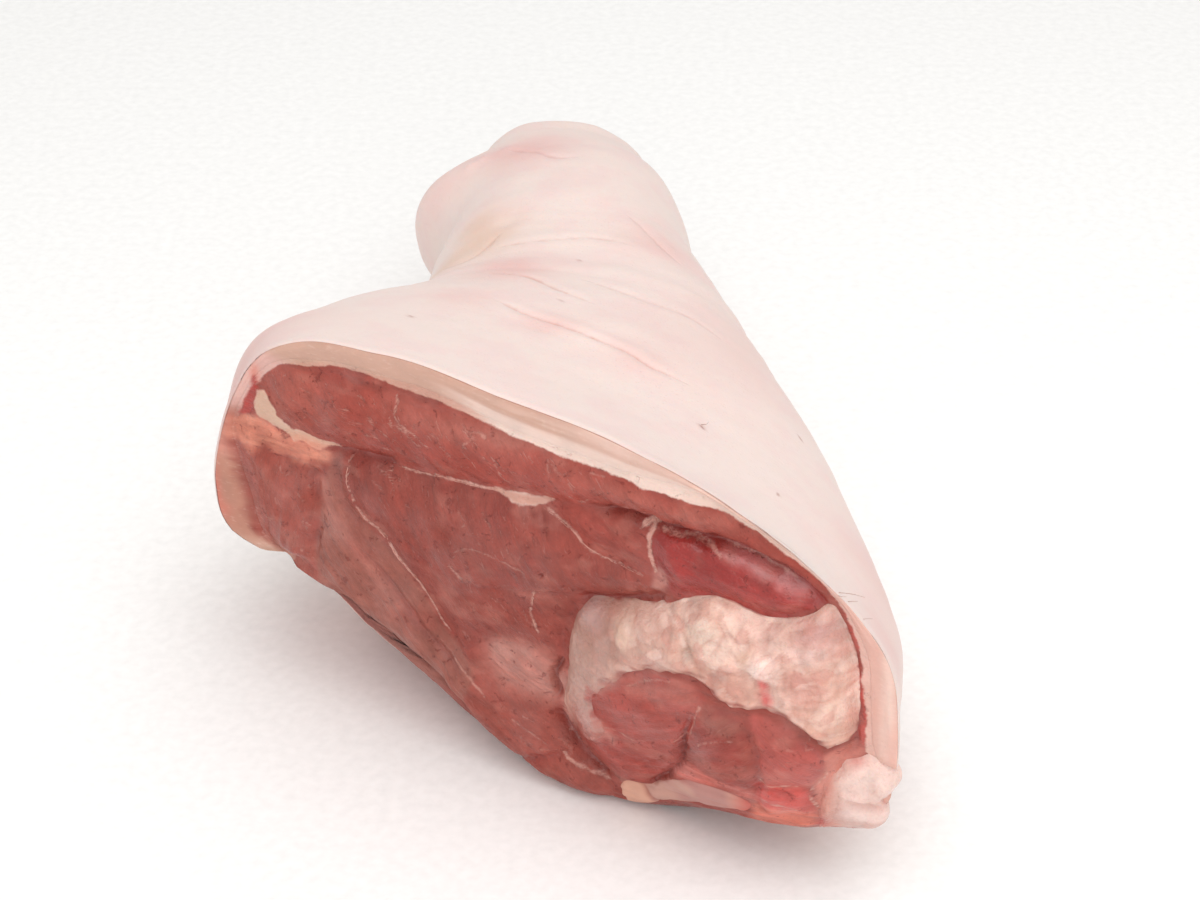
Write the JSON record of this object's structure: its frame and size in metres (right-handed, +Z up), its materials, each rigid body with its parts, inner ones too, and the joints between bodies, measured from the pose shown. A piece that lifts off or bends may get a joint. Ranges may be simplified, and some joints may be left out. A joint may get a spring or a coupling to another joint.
{
  "type": "bone-in pork leg",
  "caption": "Raw bone-in leg of pork with its rind on, cut face of lean meat and fat at the butt end, tapering to a sawn hock.",
  "frame": {"origin": "on the surface the leg rests on, under the middle of its bounding box", "axes": "+Z up, +Y along the leg from the cut butt end towards the sawn hock, +X to the right when facing the cut"},
  "size_m": [0.2331, 0.3808, 0.1567],
  "materials": {
    "lean": "moist raw lean meat, dark rose with paler seams",
    "rind": "soft matte pig skin, pale pinkish cream, fat at its cut edge",
    "fat": "lumpy cream fat with a moist sheen",
    "bone": "smooth pinkish bone and gristle"
  },
  "bodies": {
    "root": {"lean_meat": "lean", "rind_and_fat": "rind", "knuckle_fat": "fat", "pelvic_bone": "bone", "shank_bone": "bone"}
  },
  "joints": []
}
